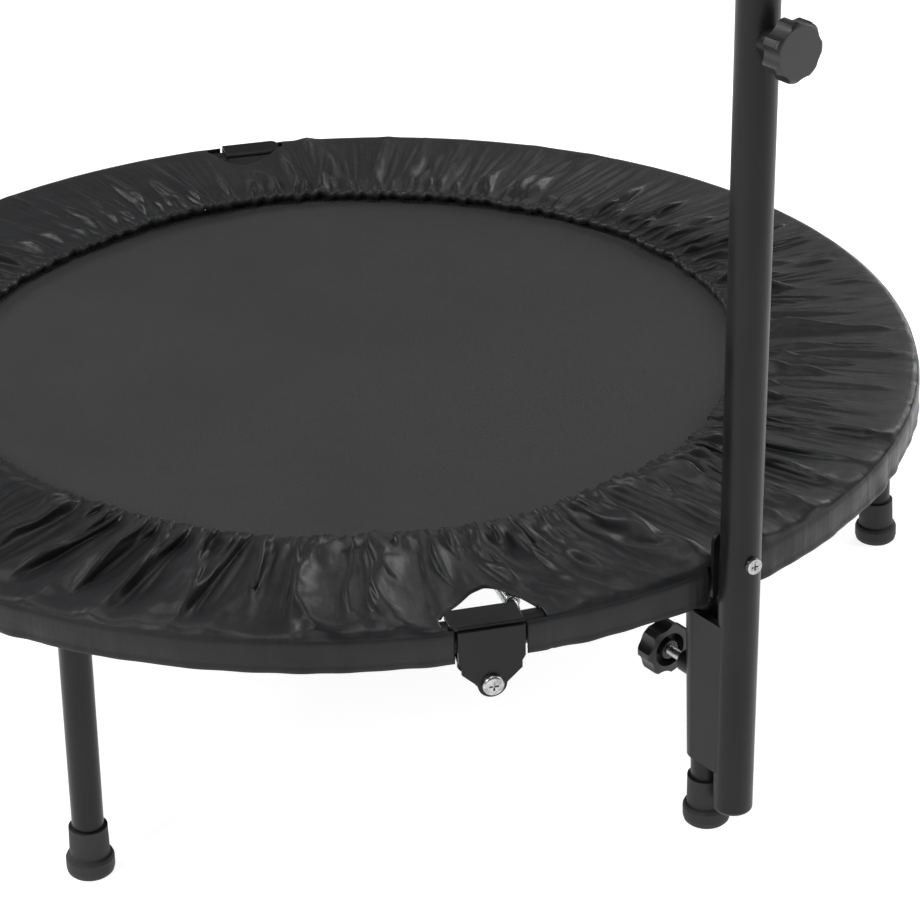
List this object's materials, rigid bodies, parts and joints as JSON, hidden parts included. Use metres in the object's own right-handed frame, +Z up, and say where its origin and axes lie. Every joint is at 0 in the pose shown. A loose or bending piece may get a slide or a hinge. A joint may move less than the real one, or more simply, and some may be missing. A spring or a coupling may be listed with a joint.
{
  "type": "mini trampoline",
  "caption": "Folding round mini trampoline with a sprung mat, a gathered spring cover, screw-on legs and a height-adjustable T-bar handle on one side.",
  "frame": {"origin": "centre of the jumping mat's top face; the floor is at z = -0.232 m", "axes": "+Z up, the fold line along Y through the two pivot bolts; +X towards the half that carries the handle"},
  "size_m": [1.0226, 1.1234, 1.078],
  "materials": {
    "frame_powder_coat": "satin black powder coat",
    "spring_steel": "zinc-plated spring wire",
    "zinc_fastener": "bright zinc",
    "mat_mesh": "woven polypropylene",
    "webbing": "black webbing",
    "cover_fabric": "satin nylon",
    "rubber_foot": "matte rubber",
    "grip_foam": "closed-cell foam",
    "black_plastic": "moulded black plastic"
  },
  "bodies": {
    "right_half": {"right_ring": "frame_powder_coat", "right_leg_studs": "frame_powder_coat", "leg_1": "frame_powder_coat", "leg_2": "frame_powder_coat", "leg_3": "frame_powder_coat", "foot_1": "rubber_foot", "foot_2": "rubber_foot", "foot_3": "rubber_foot", "right_mat": "mat_mesh", "right_mat_webbing": "webbing", "right_mat_tabs": "webbing", "right_mat_rings": "spring_steel", "right_springs": "spring_steel", "right_cover": "cover_fabric", "right_hem_elastic": "cover_fabric", "front_hinge_clevis": "frame_powder_coat", "front_pivot_bolt": "zinc_fastener", "front_pivot_nut_and_washer": "zinc_fastener", "back_hinge_tongue": "frame_powder_coat", "back_hinge_strap": "frame_powder_coat", "back_pivot_spacer": "zinc_fastener", "handle_post": "frame_powder_coat", "post_boss": "frame_powder_coat", "post_bottom_cap": "black_plastic", "post_bushing": "black_plastic", "rim_bracket": "frame_powder_coat", "rim_bolt": "zinc_fastener", "rim_nut": "zinc_fastener", "leg_sleeve": "frame_powder_coat", "sleeve_boss": "frame_powder_coat"},
    "left_half": {"left_ring": "frame_powder_coat", "left_leg_studs": "frame_powder_coat", "leg_4": "frame_powder_coat", "leg_5": "frame_powder_coat", "leg_6": "frame_powder_coat", "foot_4": "rubber_foot", "foot_5": "rubber_foot", "foot_6": "rubber_foot", "left_mat": "mat_mesh", "left_mat_webbing": "webbing", "left_mat_tabs": "webbing", "left_mat_rings": "spring_steel", "left_springs": "spring_steel", "left_cover": "cover_fabric", "left_hem_elastic": "cover_fabric", "back_hinge_clevis": "frame_powder_coat", "back_pivot_bolt": "zinc_fastener", "back_pivot_nut_and_washer": "zinc_fastener", "front_hinge_tongue": "frame_powder_coat", "front_hinge_strap": "frame_powder_coat", "front_pivot_spacer": "zinc_fastener"},
    "handle": {"inner_post": "frame_powder_coat", "handlebar": "frame_powder_coat", "right_foam_grip": "grip_foam", "left_foam_grip": "grip_foam", "bar_end_caps": "black_plastic"},
    "height_knob_body": {"height_knob": "black_plastic", "height_knob_screw": "zinc_fastener"},
    "clamp_knob_body": {"clamp_knob": "black_plastic", "clamp_knob_screw": "zinc_fastener"}
  },
  "joints": [
    {"name": "fold", "type": "hinge", "parent": "right_half", "child": "left_half", "pos_m": [0, 0, -0.04], "axis": [0, -1, 0], "range_deg": [0, 135]},
    {"name": "handle_height", "type": "slide", "parent": "right_half", "child": "handle", "axis": [0, 0, 1], "range_m": [-0.1, 0.15]},
    {"name": "height_knob_turn", "type": "hinge", "parent": "right_half", "child": "height_knob_body", "pos_m": [0.20167, -0.48689, 0.44], "axis": [0.3827, -0.9239, 0], "range_deg": [-1080, 0]},
    {"name": "clamp_knob_turn", "type": "hinge", "parent": "right_half", "child": "clamp_knob_body", "pos_m": [0.18816, -0.45426, -0.096], "axis": [-0.3827, 0.9239, 0], "range_deg": [-1080, 0]}
  ]
}
